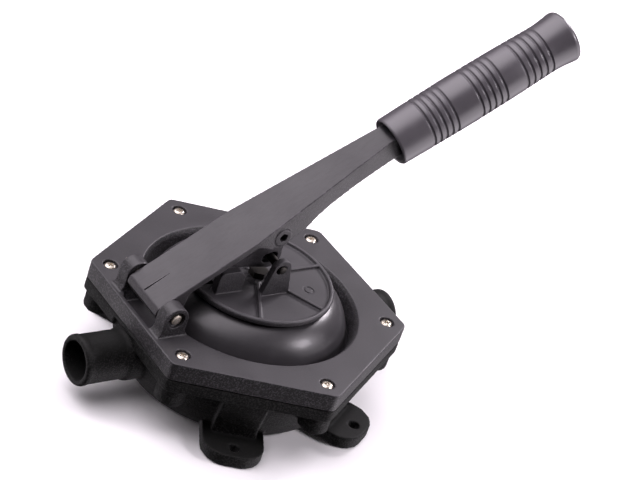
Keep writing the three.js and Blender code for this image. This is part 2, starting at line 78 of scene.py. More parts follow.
RING_BOTTOM = RING_LOW.z
RING_THICK = 11
RING_TOP = RING_BOTTOM + RING_THICK
CORNER_R = RING_HIGH.x / math.cos(math.radians(30))
CORNER_ROUND = 5
SCREW_HOLE_R = 2.05
SCREW_CIRCLE_R = 83
SCREW_HEAD_R = (SCREW_HIGH.x - SCREW_LOW.x) / 2
SCREW_HEAD_TOP = SCREW_HIGH.z
SCREW_SHANK_R = 1.75
CROSS_LONG = 2.1              # half the cross recess's length and width
CROSS_WIDE = 0.42
CROSS_DEEP = 1.3
RECESS_R = 4.4
RECESS_DEEP = 2.6
FLANGE_TOP = BODY_HIGH.z
FLANGE_BOTTOM = 35
BOSS_R = 9
BOSS_BOTTOM = 24
PILOT_BOTTOM = 27
SEAT_STEP_Z = 39.5
SEAT_STEP_R = 73.3
FLOOR_Z = 4.5
PORT_Z = 23
PORT_R = 14.3
PORT_BORE_R = 11.25
PORT_END = BODY_HIGH.x
PORT_RECESS_X = (80.3, 90)    # notch in the flange over each port
PORT_RECESS_HALF = 12
PORT_RECESS_TOP = FLANGE_TOP - 2.5
FLAP_R = 10.2
CHEST_END = 76                # the thick walls that hold the valves
CHEST_HALF = 18
CHEST_TOP = 38.5
POCKET_Z = (9, 36)            # pockets for the valve seats
INLET_POCKET_HALF = 15.2
OUTLET_POCKET_HALF = 15
FOOT_ANGLES = (60, 120, 240, 300)
FOOT_TIP_R = 93
FOOT_HALF = 18
FOOT_THICK = 7.5
FOOT_CORNER = 14
FOOT_HOLE_R = 3.25
FOOT_HOLE_AT = 85
LUG_INNER = 17
LUG_OUTER = -PIN_LOW.y
LUG_R = 7.7
LUG_DISH_R = 5.1
LUG_DISH_DEEP = 2.2
NOSE_RECESS_X = (-79.5, -55)
NOSE_RECESS_DEEP = 7.5
PIN_GAP = 0.3                 # round each pin, on the radius
PIVOT_PIN_R = (PIN_HIGH.x - PIN_LOW.x) / 2
LINK_PIN = (LINK_LOW + LINK_HIGH) / 2
LINK_PIN_R = (LINK_HIGH.x - LINK_LOW.x) / 2
EAR_INNER = 14
EAR_OUTER = 18
EAR_HALF = 9.5
EAR_R = 6
PLATE_R = PLATE_HIGH.x
PLATE_RIM = RING_TOP + 15
PLATE_FLOOR = RING_TOP + 13
PLATE_BOTTOM = PLATE_LOW.z
PLATE_HUB_R = 10
PLATE_RIBS = 6
BOLT_HOLE_R = 3.3
MARK_R = (3.3, 2.4)           # small moulded hoop between two ribs
MARK_AT = 31.1
MARK_ANGLE = -36.5
LEVER_TILT = 34.8
LEVER_TOP = 5
LEVER_HALF = 16
LEVER_HALF_AT_GRIP = 7.3
LEVER_TAPER_FROM = 64
LEVER_WALL = 3.4
LEVER_RIBS = (115, 132)
SPARE_HOLE = (77, -3.9)
SPARE_HOLE_R = 2.5
SPARE_BOSS_R = 5.4
SPARE_BOSS_Y = (13, 15.6)
LINK_SLOT_STEPS = (-2.9, -1.2, 0, 1.3)    # the link pin's slot, along the line to the pivot
GRIP_FROM = 161
GRIP_LENGTH = 126.5
GRIP_DROP = -3.6
GRIP_TILT = 2.65
GROOVE_BANDS = ((0.167, 0.297), (0.435, 0.57), (0.69, 0.835))    # parts of the grip's length
GROOVES_IN_BAND = 5
GROOVE_HALF = 0.95
GROOVE_DEEP = 0.85
TANG_HALF = 6.3
TANG_END = 74
RUBBER = 2.4
DIAPHRAGM_MID = RUBBER_HIGH.z - RUBBER / 2
SCREW_TURNS = (17, 52, 8, 71, 33, 60)     # how far each screw happens to be turned, in degrees

EDGE_ANGLE = 32               # edges sharper than this are broken, in degrees
TINY = 1e-6
SMOOTH_SEGMENTS = 128         # round a large turned piece
PIN_SEGMENTS = 48

# ---------- light and camera, in metres and degrees ----------

PURPLE = (1.0, 0.93, 1.0)     # the faint cast of the studio light
SURROUND = 0.012
# direction, cosine where the patch starts, cosine where it is full, strength
SKY_PATCHES = (
    ((-0.25, 0.4, 0.88), 0.6, 0.97, 3.85),
    ((0.7, -0.6, -0.45), 0.7, 0.95, 2.4),
    ((-0.6, 0.6, -0.53), 0.68, 0.97, 1.2),
)
# name, place, aim, side, watts
LAMPS = (
    ("key", (1.05, -0.95, 1.05), (0.05, 0, 0.07), 0.4, 15),
    ("back", (1.5, 0.5, 1.0), (0, 0, 0.05), 0.45, 20),
)
LENS_MM = 123.06
SENSOR_MM = 36
CAMERA_PLACE = (-0.7231, -0.7701, 0.7499)
CAMERA_AIM = (0.01924, -0.01901, 0.10395)
CAMERA_ROLL = 19.95

# ---------- mesh helpers ----------


def put(name, mesh):
    piece = bpy.data.objects.new(name, mesh)
    bpy.context.scene.collection.objects.link(piece)
    return piece


def fillet(points, steps=5):
    """Corners (a, b, radius) of a closed outline become arcs. A corner with no radius stays sharp."""
    made = []
    count = len(points)
    for i, corner in enumerate(points):
        here = Vector(corner[:2])
        radius = corner[2] if len(corner) > 2 else 0
        before = Vector(points[i - 1][:2]) - here
        after = Vector(points[(i + 1) % count][:2]) - here
        if radius <= 0 or before.length < TINY or after.length < TINY:
            made.append(tuple(here))
            continue
        half = before.angle(after) / 2
        if half > math.radians(88):
            made.append(tuple(here))
            continue
        reach = min(radius / math.tan(half), before.length * 0.49, after.length * 0.49)
        radius = reach * math.tan(half)
        start, end = here + before.normalized() * reach, here + after.normalized() * reach
        centre = here + (before.normalized() + after.normalized()).normalized() * (
            radius / math.sin(half))
        a0, a1 = (start - centre), (end - centre)
        sweep = a0.angle_signed(a1)
        for k in range(steps + 1):
            made.append(tuple(centre + Matrix.Rotation(-sweep * k / steps, 2) @ a0))
    return made


def lathe(name, outline, segments=96):
    """A closed outline of (radius, height) points in millimetres, turned about +Z."""
    mesh = bpy.data.meshes.new(name)
    bm = bmesh.new()
    rings = []
    for r, z in outline:
        if r < TINY:
            rings.append([bm.verts.new((0, 0, z * MM))])
        else:
            rings.append([
                bm.verts.new((r * MM * math.cos(a), r * MM * math.sin(a), z * MM))
                for a in (2 * math.pi * k / segments for k in range(segments))
            ])
    for low, high in zip(rings, rings[1:] + rings[:1]):
        if len(low) == 1 and len(high) == 1:
            continue
        for k in range(segments):
            n = (k + 1) % segments
            corners = [low[k % len(low)], low[n % len(low)], high[n % len(high)], high[k % len(high)]]
            bm.faces.new(list(dict.fromkeys(corners)))
    bmesh.ops.recalc_face_normals(bm, faces=bm.faces)
    bm.to_mesh(mesh)
    bm.free()
    return put(name, mesh)


def prism(name, outline, low, high, axis="Z"):
    """An outline in millimetres extruded along an axis: X and Y for Z, X and Z for Y."""
    mesh = bpy.data.meshes.new(name)
    bm = bmesh.new()

    def point(a, b, c):
        return Vector((a, b, c) if axis == "Z" else (a, c, b)) * MM

    bottom = [bm.verts.new(point(a, b, low)) for a, b in outline]
    top = [bm.verts.new(point(a, b, high)) for a, b in outline]
    bm.faces.new(bottom)
    bm.faces.new(top)
    for i in range(len(outline)):
        n = (i + 1) % len(outline)
        bm.faces.new([bottom[i], bottom[n], top[n], top[i]])
    bmesh.ops.recalc_face_normals(bm, faces=bm.faces)
    bm.to_mesh(mesh)
    bm.free()
    return put(name, mesh)


def block(x0, x1, y0, y1, z0, z1):
    return prism("block", [(x0, y0), (x1, y0), (x1, y1), (x0, y1)], z0, z1)


def rod(radius, low, high, centre=(0, 0), axis="Z", segments=64):
    """A plain rod. centre is (x, y) for Z, (x, z) for Y and (y, z) for X."""
    turned = lathe("rod", [(0, low), (radius, low), (radius, high), (0, high)], segments)
    if axis == "Z":
        return moved(turned, Matrix.Translation(Vector((*centre, 0)) * MM))
    if axis == "Y":
        place = Matrix.Translation(Vector((centre[0], 0, centre[1])) * MM)
        return moved(turned, place @ Matrix.Rotation(math.radians(-90), 4, "X"))
    place = Matrix.Translation(Vector((0, *centre)) * MM)
    return moved(turned, place @ Matrix.Rotation(math.radians(90), 4, "Y"))


def moved(piece, matrix):
    piece.data.transform(matrix)
    return piece


def spun(piece, degrees):
    return moved(piece, Matrix.Rotation(math.radians(degrees), 4, "Z"))


def settle(piece):
    """Applies the modifiers."""
    graph = bpy.context.evaluated_depsgraph_get()
    mesh = bpy.data.meshes.new_from_object(piece.evaluated_get(graph), depsgraph=graph)
    piece.modifiers.clear()
    piece.data = mesh
    return piece


def combine(piece, operation, others):
    for other in others:
        step = piece.modifiers.new("bool", "BOOLEAN")
        step.operation = operation
        step.solver = "MANIFOLD"
        step.object = other
        settle(piece)
        bpy.data.objects.remove(other)
    return piece


def join(piece, *others):
    return combine(piece, "UNION", others)


def cut(piece, *others):
    return combine(piece, "DIFFERENCE", others)


def moulded(piece, voxel, rounds, keep):
    """Softens every edge by about a voxel, as a mould does, and thins out the flat areas."""
    grid = piece.modifiers.new("grid", "REMESH")
    grid.mode = "VOXEL"
    grid.voxel_size = voxel * MM
    grid.adaptivity = 0
    soft = piece.modifiers.new("soft", "SMOOTH")
    soft.factor = 0.5
    soft.iterations = rounds
    thin = piece.modifiers.new("thin", "DECIMATE")
    thin.ratio = keep
    settle(piece)
    piece.data.shade_smooth()
    return piece


def finish_piece(piece, name, body, slot, material, *nodes):
    """Names and colours a piece, and says what it rides and which CAD nodes it stands for."""
    piece.name = name
    piece.data.name = name
    piece.data.materials.clear()
    piece.data.materials.append(material)
    if body:
        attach(piece, body)
    if nodes:
        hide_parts(*nodes)
    return piece


def arc(cx, cy, radius, start, end, steps):
    """Points on an arc, from one angle to another in degrees."""
    return [
        (cx + radius * math.cos(math.radians(start + (end - start) * i / steps)),
         cy + radius * math.sin(math.radians(start + (end - start) * i / steps)))
        for i in range(steps + 1)
    ]


def hexagon(corner_r, round_r, steps=8):
    """A hexagon with rounded corners. Its first corner lies at 30 degrees."""
    points = []
    centre = corner_r - round_r / math.cos(math.radians(30))
    for i in range(6):
        at = 30 + 60 * i
        cx, cy = (centre * math.cos(math.radians(at)), centre * math.sin(math.radians(at)))
        points += arc(cx, cy, round_r, at - 30, at + 30, steps)
    return points


def screw_places():
    return [
        (SCREW_CIRCLE_R * math.cos(math.radians(30 + 60 * i)),
         SCREW_CIRCLE_R * math.sin(math.radians(30 + 60 * i)))
        for i in range(6)
    ]


# ---------- materials ----------


class Shader:
    """A node tree around one Principled shader, with short calls for the usual nodes."""

    def __init__(self, name, color, roughness, metallic=0.0, **inputs):
        self.material = bpy.data.materials.new(name)
        self.material.use_nodes = True
        self.tree = self.material.node_tree
        self.bsdf = self.tree.nodes["Principled BSDF"]
        self.bsdf.inputs["Base Color"].default_value = (*color, 1)
        self.bsdf.inputs["Roughness"].default_value = roughness
        self.bsdf.inputs["Metallic"].default_value = metallic
        for key, value in inputs.items():
            self.bsdf.inputs[key.replace("_", " ")].default_value = value
        self.place = self.node("ShaderNodeTexCoord").outputs["Object"]
        self.relief = None

    def node(self, kind, **settings):
        made = self.tree.nodes.new(kind)
        for key, value in settings.items():
            setattr(made, key, value)
        return made

    def link(self, source, target):
        self.tree.links.new(source, target)

    def noise(self, scale, detail=4.0, roughness=0.55, stretch=None, distortion=0.0, turn=0.0):
        made = self.node("ShaderNodeTexNoise")
        made.inputs["Scale"].default_value = scale
        made.inputs["Detail"].default_value = detail
        made.inputs["Roughness"].default_value = roughness
        made.inputs["Distortion"].default_value = distortion
        place = self.place
        if stretch:
            mapping = self.node("ShaderNodeMapping")
            mapping.inputs["Scale"].default_value = stretch
            mapping.inputs["Rotation"].default_value = (0, math.radians(turn), 0)
            self.link(place, mapping.inputs["Vector"])
            place = mapping.outputs["Vector"]
        self.link(place, made.inputs["Vector"])
        return made.outputs["Fac"]

    def ramp(self, source, low, high, out_low, out_high):
        made = self.node("ShaderNodeMapRange", clamp=True)
        self.link(source, made.inputs["Value"])
        for key, value in zip(("From Min", "From Max", "To Min", "To Max"),
                              (low, high, out_low, out_high)):
            made.inputs[key].default_value = value
        return made.outputs["Result"]

    def math(self, operation, a, b):
        made = self.node("ShaderNodeMath", operation=operation)
        for socket, value in zip(made.inputs, (a, b)):
            if isinstance(value, (int, float)):
                socket.default_value = value
            else:
                self.link(value, socket)
        return made.outputs[0]

    def tint(self, factor, color):
        """Mixes the base colour towards color by factor."""
        made = self.node("ShaderNodeMix", data_type="RGBA")
        before = self.bsdf.inputs["Base Color"]
        if before.links:
            self.link(before.links[0].from_socket, made.inputs["A"])
        else:
            made.inputs["A"].default_value = before.default_value
        made.inputs["B"].default_value = (*color, 1)
        self.link(factor, made.inputs["Factor"])
        self.link(made.outputs["Result"], before)

    def sides(self):
        """1 on upright faces, 0 on level ones."""
        split = self.node("ShaderNodeSeparateXYZ")
        self.link(self.node("ShaderNodeTexCoord").outputs["Normal"], split.inputs[0])
        return self.ramp(self.math("ABSOLUTE", split.outputs["Z"], 0), 0.45, 0.85, 1, 0)

    def bump(self, height, distance_mm, strength=1.0):
        """distance_mm is a number, or a socket that gives one."""
        made = self.node("ShaderNodeBump")
        if isinstance(distance_mm, (int, float)):
            made.inputs["Distance"].default_value = distance_mm * MM
        else:
            self.link(self.math("MULTIPLY", distance_mm, MM), made.inputs["Distance"])
        made.inputs["Strength"].default_value = strength
        self.link(height, made.inputs["Height"])
        if self.relief:
            self.link(self.relief, made.inputs["Normal"])
        self.relief = made.outputs["Normal"]
        self.link(self.relief, self.bsdf.inputs["Normal"])

    def rough(self, source):
        self.link(source, self.bsdf.inputs["Roughness"])

    def edges(self, low, high):
        """1 on convex edges, 0 on flats."""
        pointiness = self.node("ShaderNodeNewGeometry").outputs["Pointiness"]
        return self.ramp(pointiness, low, high, 0, 1)


def charcoal(name, color, roughness, grain, speckle, streak=0.0, pits=1000, gloss=0.5,
             painted_side_shade=0.0, rub_and_highlight=2.4):
    """Moulded plastic with cloudy flow marks.

    Its sides are pitted and darkened with painted shade, its top faces satin, and its edges paler: part
    worn pale by rubbing, part painted highlight.
    """
    s = Shader(name, color, roughness, Specular_IOR_Level=gloss)
    cloud = s.noise(38, 5, 0.6, distortion=0.4)
    s.tint(s.ramp(cloud, 0.42, 0.72, 0, 0.4), shade(color, 1.5))
    grit = s.noise(pits, 2, 0.8)
    side = s.sides()
    # painted shade: upright faces are made darker, as if in shade
    if painted_side_shade:
        s.tint(s.math("MULTIPLY", side, painted_side_shade), shade(color, 0.2))
    s.tint(s.math("MULTIPLY", side, s.ramp(grit, 0.52, 0.62, 0, speckle)), shade(color, 5.5))
    s.tint(s.math("MULTIPLY", side, s.ramp(grit, 0.48, 0.38, 0, speckle)), shade(color, 0.3))
    s.tint(s.ramp(grit, 0.5, 0.75, 0, speckle), shade(color, 1.9))
    if streak:
        lines = s.noise(520, 4, 0.7, stretch=(0.03, 1, 0.5), turn=LEVER_TILT)
        s.tint(s.ramp(lines, 0.45, 0.65, 0, streak), shade(color, 0.4))
        s.bump(lines, 0.12)
    # edges made paler: part worn by rubbing, part painted highlight
    edge_wear_and_highlight = s.math("MULTIPLY", s.edges(0.505, 0.56), s.ramp(s.noise(120, 3), 0.35, 0.65, 0.1, 0.6))
    s.tint(edge_wear_and_highlight, shade(color, rub_and_highlight))
    s.rough(s.ramp(s.math("ADD", cloud, s.math("MULTIPLY", grit, 0.35)), 0.45, 0.95,
                   roughness - 0.06, roughness + 0.12))
    s.bump(grit, s.math("ADD", s.math("MULTIPLY", side, 10 * grain), grain))
    s.bump(s.noise(60, 2), 0.1, 0.5)
    return s.material


def shade(color, factor):
    """The colour made lighter or darker."""
    return tuple(min(1, c * factor + 0.002 * factor) for c in color)


def glossy_rubber():
    """Compression moulded rubber: satin, with faint flow lines and a dusty bloom in places."""
    s = Shader("rubber", (0.03, 0.028, 0.031), 0.42, Specular_IOR_Level=0.55, Coat_Weight=0.12,
               Coat_Roughness=0.16)
    bloom = s.noise(55, 6, 0.62, distortion=0.5)
    s.tint(s.ramp(bloom, 0.5, 0.78, 0, 0.4), (0.045, 0.043, 0.047))
    s.rough(s.ramp(bloom, 0.4, 0.8, 0.36, 0.5))
    s.bump(s.noise(700, 3, 0.6), 0.03)
    s.bump(s.noise(90, 2), 0.12, 0.4)
    return s.material


def valve_rubber():
    s = Shader("valve_rubber", (0.03, 0.03, 0.032), 0.55)
    s.tint(s.ramp(s.noise(180, 4), 0.45, 0.7, 0, 0.6), (0.055, 0.053, 0.05))
    s.bump(s.noise(900, 3), 0.03)
    return s.material


def valve_plastic():
    s = Shader("valve_plastic", (0.09, 0.088, 0.094), 0.5)
    s.tint(s.ramp(s.noise(90, 4), 0.4, 0.7, 0, 0.5), (0.13, 0.125, 0.13))
    s.rough(s.ramp(s.noise(400, 3), 0.3, 0.7, 0.42, 0.6))
    s.bump(s.noise(1100, 2), 0.03)
    return s.material


def bright_steel():
    """Plated steel, a little warm, lightly brushed, with dull patches and small handling marks."""
    s = Shader("steel", (0.62, 0.57, 0.49), 0.3, 1.0)
    brushed = s.noise(700, 3, 0.6, stretch=(1, 1, 0.15))
    s.rough(s.ramp(brushed, 0.3, 0.75, 0.24, 0.46))
    s.tint(s.ramp(s.noise(260, 4, 0.6), 0.5, 0.7, 0, 0.6), (0.34, 0.29, 0.22))
    s.bump(brushed, 0.015)
    return s.material


def steel_painted_shade():
    """The bolt, its washer and nut, and the link pin: steel darkened nearly to black as painted shade,
    with pale patches here and there, part worn bright by rubbing and part painted glint.
    """
    # steel painted nearly black: painted shade
    s = Shader("steel_painted_shade", (0.05, 0.047, 0.043), 0.45, 1.0)
    # pale patches: part worn bright by rubbing, part painted glint
    rub_and_highlight = s.noise(320, 4, 0.65)
    s.tint(s.ramp(rub_and_highlight, 0.66, 0.74, 0, 0.8), (0.4, 0.35, 0.27))
    s.rough(s.ramp(rub_and_highlight, 0.3, 0.75, 0.55, 0.35))
    s.bump(rub_and_highlight, 0.03)
    return s.material


def grip_plastic():
    """Soft moulded grip: satin, with finger-worn shiny patches and fine scuffs along its length."""
    s = Shader("grip_plastic", (0.085, 0.079, 0.088), 0.4, Specular_IOR_Level=0.7)
    worn = s.noise(42, 4, 0.6, distortion=0.6)
    s.tint(s.ramp(worn, 0.45, 0.7, 0, 0.45), (0.12, 0.112, 0.124))
    scuffs = s.noise(260, 5, 0.7, stretch=(0.25, 1, 1))
    s.tint(s.ramp(scuffs, 0.66, 0.8, 0, 0.4), (0.15, 0.143, 0.152))
    s.rough(s.ramp(worn, 0.35, 0.75, 0.28, 0.44))
    s.bump(s.noise(1000, 3, 0.6), 0.02)
    s.bump(scuffs, 0.02, 0.6)
    return s.material


# The body and the ring get painted shade on their upright faces.
BODY_PLASTIC = charcoal("body_plastic", (0.008, 0.0082, 0.0078), 0.55, grain=0.05, speckle=0.7,
                        gloss=0.14, painted_side_shade=0.4)
# The ring's and the lever's paler edges are part worn by rubbing, part painted highlight.
RING_PLASTIC = charcoal("ring_plastic", (0.024, 0.0225, 0.025), 0.48, grain=0.03, speckle=0.6,
                        painted_side_shade=0.8, rub_and_highlight=3.5)
# The plate's copy of the ring's plastic is made lighter: a painted lit tone for the light the plate
# catches.
PLATE_PLASTIC_PAINTED_LIT = charcoal("plate_plastic_painted_lit", (0.036, 0.034, 0.0375), 0.5, grain=0.03, speckle=0.15,
                         pits=1300)
LEVER_PLASTIC = charcoal("lever_plastic", (0.028, 0.026, 0.029), 0.42, grain=0.02, speckle=0.15,
                         streak=0.35, rub_and_highlight=7)
GRIP_PLASTIC = grip_plastic()
RUBBER_MATERIAL = glossy_rubber()
VALVE_RUBBER = valve_rubber()
VALVE_PLASTIC = valve_plastic()
STEEL = bright_steel()
# a dark copy of the steel: painted shade
STEEL_PAINTED_SHADE = steel_painted_shade()


# ---------- pump body ----------


def foot(angle):
    """A flat rounded foot and the riser that ties it to the flange."""
    half, tip, corner = FOOT_HALF, FOOT_TIP_R, FOOT_CORNER
    plan = [(45, -half), *arc(tip - corner, corner - half, corner, -90, 0, 10),
            *arc(tip - corner, half - corner, corner, 0, 90, 10), (45, half)]
    riser = [(50, 1), (74, 1), (74, FOOT_THICK), (73.5, 13), (75, 20), (78.5, 28),
             (80, FLANGE_BOTTOM + 1), (50, FLANGE_BOTTOM + 1)]
    pad = prism("foot", plan, 0, FOOT_THICK)
    return spun(join(pad, prism("riser", riser, -13, 13, "Y")), angle)


def spigot(side):
    """A hose spigot with a small bead at its end. side is 1 for +X and -1 for -X."""
    r, end = PORT_R, PORT_END
    outline = fillet([
        (0, 60), (r + 1.2, 60), (r + 1.2, 80, 2), (r, 83, 2), (r, end - 5, 1), (r + 0.5, end - 3.5, 1),
        (r + 0.5, end - 1.2, 1), (r - 0.6, end, 0.6), (0, end)])
    turn = Matrix.Rotation(math.radians(90 * side), 4, "Y")
    return moved(lathe("spigot", outline), Matrix.Translation((0, 0, PORT_Z * MM)) @ turn)


def bowl_outside():
    """(radius, height, rounding) of the bowl's outside."""
    return [(0, 0), (60, 0, 2), (64, 1.8, 3), (68.5, 8, 9), (72.5, 16, 16), (75.5, 25, 20), (77, 34),
            (77, FLANGE_TOP), (0, FLANGE_TOP)]


def bowl_inside():
    """(radius, height, rounding) of the hollow."""
    return [(0, FLOOR_Z), (51, FLOOR_Z, 5), (57, 6.5, 6), (61.5, 11, 8), (65, 18, 12), (67, 27, 12),
            (67, 34, 3), (65, SEAT_STEP_Z - 2), (65, FLANGE_TOP + 1), (0, FLANGE_TOP + 1)]


def valve_room(inlet_x, outlet_x):
    """What is cut away for the valve seats, for the flaps to swing, and for the ports' bores."""
    axis = (0, PORT_Z)
    return [
        rod(SEAT_STEP_R, SEAT_STEP_Z, FLANGE_TOP + 1, segments=SMOOTH_SEGMENTS),
        block(inlet_x, -40, -INLET_POCKET_HALF, INLET_POCKET_HALF, *POCKET_Z),
        block(outlet_x - 1.5, 68, -OUTLET_POCKET_HALF, OUTLET_POCKET_HALF, *POCKET_Z),
        rod(PORT_BORE_R, -PORT_END - 1, inlet_x + 0.1, axis, "X"),
        rod(FLAP_R + 1.4, outlet_x + 3.5, 71.5, (0, PORT_Z - 2), "X"),
        rod(PORT_BORE_R, 64, PORT_END + 1, axis, "X"),
    ]


def pump_body():
    inlet_x = box_mm("inlet_valve_seat")[0].x - 0.3
    outlet_x = box_mm("outlet_valve_seat")[0].x - 0.5
    body = lathe("pump_body", fillet(bowl_outside()), SMOOTH_SEGMENTS)
    flange = prism("flange", hexagon(CORNER_R, CORNER_ROUND), FLANGE_BOTTOM, FLANGE_TOP)
    for angle in (0, 180):
        notch = block(*PORT_RECESS_X, -PORT_RECESS_HALF, PORT_RECESS_HALF, 30, PORT_RECESS_TOP)
        cut(flange, spun(notch, angle))
    bosses = [rod(BOSS_R, BOSS_BOTTOM, FLANGE_BOTTOM + 1, place) for place in screw_places()]
    join(body, flange, *bosses, *[foot(a) for a in FOOT_ANGLES], spigot(1), spigot(-1))
    cut(body, lathe("hollow", fillet(bowl_inside()), SMOOTH_SEGMENTS))
    envelope = fillet(bowl_outside())
    for x0, x1 in ((-CHEST_END, inlet_x), (outlet_x, CHEST_END)):
        chest = block(x0, x1, -CHEST_HALF, CHEST_HALF, 1, CHEST_TOP)
        combine(chest, "INTERSECT", [lathe("envelope", envelope, SMOOTH_SEGMENTS)])
        join(body, chest)
    cut(body, *valve_room(inlet_x, outlet_x))
    for place in screw_places():
        cut(body, rod(SCREW_HOLE_R, PILOT_BOTTOM, FLANGE_TOP + 1, place, segments=24))
    for angle in FOOT_ANGLES:
        hole = rod(FOOT_HOLE_R, -1, FOOT_THICK + 1, (FOOT_HOLE_AT, 0), segments=PIN_SEGMENTS)
        cut(body, spun(hole, angle))
    moulded(body, voxel=0.75, rounds=5, keep=0.4)
    return finish_piece(body, "bowl_moulding", "root", "body_plastic", BODY_PLASTIC, "pump_body")


# ---------- clamp ring ----------


def lug(side):
    """A lug that holds one end of the pivot pin, on the +Y or the -Y side."""
    px, pz, r = PIVOT.x, PIVOT.z, LUG_R
    outline = [(px - r - 2, RING_TOP - 2), (px + r + 2, RING_TOP - 2), (px + r + 2, RING_TOP),
               (px + r, RING_TOP + 3), *arc(px, pz, r, 0, 180, 24), (px - r, RING_TOP + 3),
               (px - r - 2, RING_TOP)]
    low, high = (LUG_INNER, LUG_OUTER) if side > 0 else (-LUG_OUTER, -LUG_INNER)
    return prism("lug", outline, low, high, "Y")


def clamp_ring():
    ring = prism("clamp_ring", hexagon(CORNER_R, CORNER_ROUND), RING_BOTTOM, RING_TOP)
    opening = lathe("opening", fillet([
        (0, RING_BOTTOM - 1), (62, RING_BOTTOM - 1), (62, RING_BOTTOM + 1.5, 1),
        (62.9, RING_BOTTOM + 5, 3), (63.9, RING_TOP - 2.5, 2), (65.5, RING_TOP, 0.6),
        (65.5, RING_TOP + 1), (0, RING_TOP + 1)]), 160)
    cut(ring, opening)
    outer, inner = NOSE_RECESS_X
    recess = fillet([(outer, -LUG_INNER, 4), (inner, -LUG_INNER), (inner, LUG_INNER),
                     (outer, LUG_INNER, 6)])
    cut(ring, prism("recess", recess, RING_TOP - NOSE_RECESS_DEEP, RING_TOP + 1))
    join(ring, lug(1), lug(-1))
    axis = (PIVOT.x, PIVOT.z)
    pin_hole = rod(PIVOT_PIN_R + PIN_GAP, -40, 40, axis, "Y", PIN_SEGMENTS)
    dish = rod(LUG_DISH_R, -LUG_OUTER - 1, -LUG_OUTER + LUG_DISH_DEEP, axis, "Y", PIN_SEGMENTS)
    cut(ring, pin_hole, dish)
    for place in screw_places():
        shank = rod(SCREW_HOLE_R, RING_BOTTOM - 1, RING_TOP + 1, place, segments=24)
        head = rod(RECESS_R, RING_TOP - RECESS_DEEP, RING_TOP + 1, place, segments=PIN_SEGMENTS)
        cut(ring, shank, head)
    moulded(ring, voxel=0.5, rounds=4, keep=0.38)
    return finish_piece(ring, "ring_moulding", "root", "ring_plastic", RING_PLASTIC, "clamp_ring")


# ---------- screws and pins ----------


def ring_screw(index, place):
    """A pointed screw with a domed pan head and a cross recess."""
    top, under = SCREW_HEAD_TOP, RING_TOP - RECESS_DEEP + 0.3
    r, shank = SCREW_HEAD_R, SCREW_SHANK_R
    head = lathe("screw", fillet([
        (0, SCREW_LOW.z), (0.6, SCREW_LOW.z), (shank, SCREW_LOW.z + 2.5), (shank, under),
        (r, under, 0.3), (r, under + 1.2, 0.7), (r - 0.9, top - 0.25, 1.2), (0, top)]), 64)
    for angle in (0, 90):
        slot = block(-CROSS_LONG, CROSS_LONG, -CROSS_WIDE, CROSS_WIDE, top - CROSS_DEEP, top + 1)
        cut(head, spun(slot, angle + 20))
    centre = lathe("centre", [(0, -1.6), (0.9, 0.4), (0, 0.4)], 16)
    cut(head, moved(centre, Matrix.Translation((0, 0, top * MM))))
    spun(head, SCREW_TURNS[index])
    moved(head, Matrix.Translation(Vector((*place, 0)) * MM))
    bevel(head, 0.12)
    return finish_piece(head, f"screw_{index + 1}", "root", "steel", STEEL, f"ring_screw_{index + 1}")


def break_edges(piece, width_mm, segments):
    piece.data.shade_smooth()
    edge = piece.modifiers.new("edge", "BEVEL")
    edge.width = width_mm * MM
    edge.segments = segments
    edge.limit_method = "ANGLE"
    edge.angle_limit = math.radians(EDGE_ANGLE)


def bevel(piece, width_mm):
    break_edges(piece, width_mm, 2)
    settle(piece)
    smooth_by_angle(piece, 40)
    return piece


def smooth_by_angle(piece, degrees):
    with bpy.context.temp_override(object=piece, active_object=piece, selected_objects=[piece],
                                   selected_editable_objects=[piece]):
        bpy.ops.object.shade_smooth_by_angle(angle=math.radians(degrees))


def pin(name, node, radius, low, high, body, steel):
    """A round pin with turned, slightly domed ends, lying along Y where its CAD node lies."""
    node_low, node_high = box_mm(node)
    centre = (node_low + node_high) / 2
    outline = fillet([
        (0, low), (radius * 0.55, low + 0.05), (radius, low + 0.4, 0.5), (radius, high - 0.4, 0.5),
        (radius * 0.55, high - 0.05), (0, high)])
    turned = lathe(name, outline, 64)
    place = Matrix.Translation(Vector((centre.x, 0, centre.z)) * MM)
    moved(turned, place @ Matrix.Rotation(math.radians(-90), 4, "X"))
    turned.data.shade_smooth()
    smooth_by_angle(turned, 40)
    return finish_piece(turned, name, body, "steel", steel, node)


# ---------- diaphragm ----------


def diaphragm():
    """The rolled rubber skin, one turned wall. It is left where it is built and rides neither the
    piston nor the body.
    """
    half = RUBBER / 2
    line = [(64, RING_TOP - 12.9), (61.6, RING_TOP - 12.6), (59.8, RING_TOP - 11), (58.6, RING_TOP - 8),
            (57.4, RING_TOP - 4.5), (55.6, RING_TOP - 1), (53.2, RING_TOP + 2.2), (50, RING_TOP + 5.2),
            (46.4, RING_TOP + 7.6), (42.5, RING_TOP + 9), (39.5, DIAPHRAGM_MID)]
    smooth = catmull(line, 5)
    upper, lower = [], []
    for i, point in enumerate(smooth):
        ahead = Vector(smooth[min(i + 1, len(smooth) - 1)]) - Vector(smooth[max(i - 1, 0)])
        normal = Vector((ahead.y, -ahead.x)).normalized() * half
        upper.append((point[0] + normal.x, point[1] + normal.y))
        lower.append((point[0] - normal.x, point[1] - normal.y))
    bead_in, bead_out, bead_bottom = 69, 73, SEAT_STEP_Z + 0.3
    outline = [(BOLT_HOLE_R, DIAPHRAGM_MID - half), *reversed(lower), (bead_in, bead_bottom),
               (bead_out, bead_bottom), (bead_out, FLANGE_TOP), (bead_in, FLANGE_TOP), *upper,
               (BOLT_HOLE_R, DIAPHRAGM_MID + half)]
    skin = lathe("diaphragm", outline, 160)
    skin.data.shade_smooth()
    smooth_by_angle(skin, 50)
    finish_piece(skin, "rubber_skin", None, "rubber", RUBBER_MATERIAL, "diaphragm")
    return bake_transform(skin)


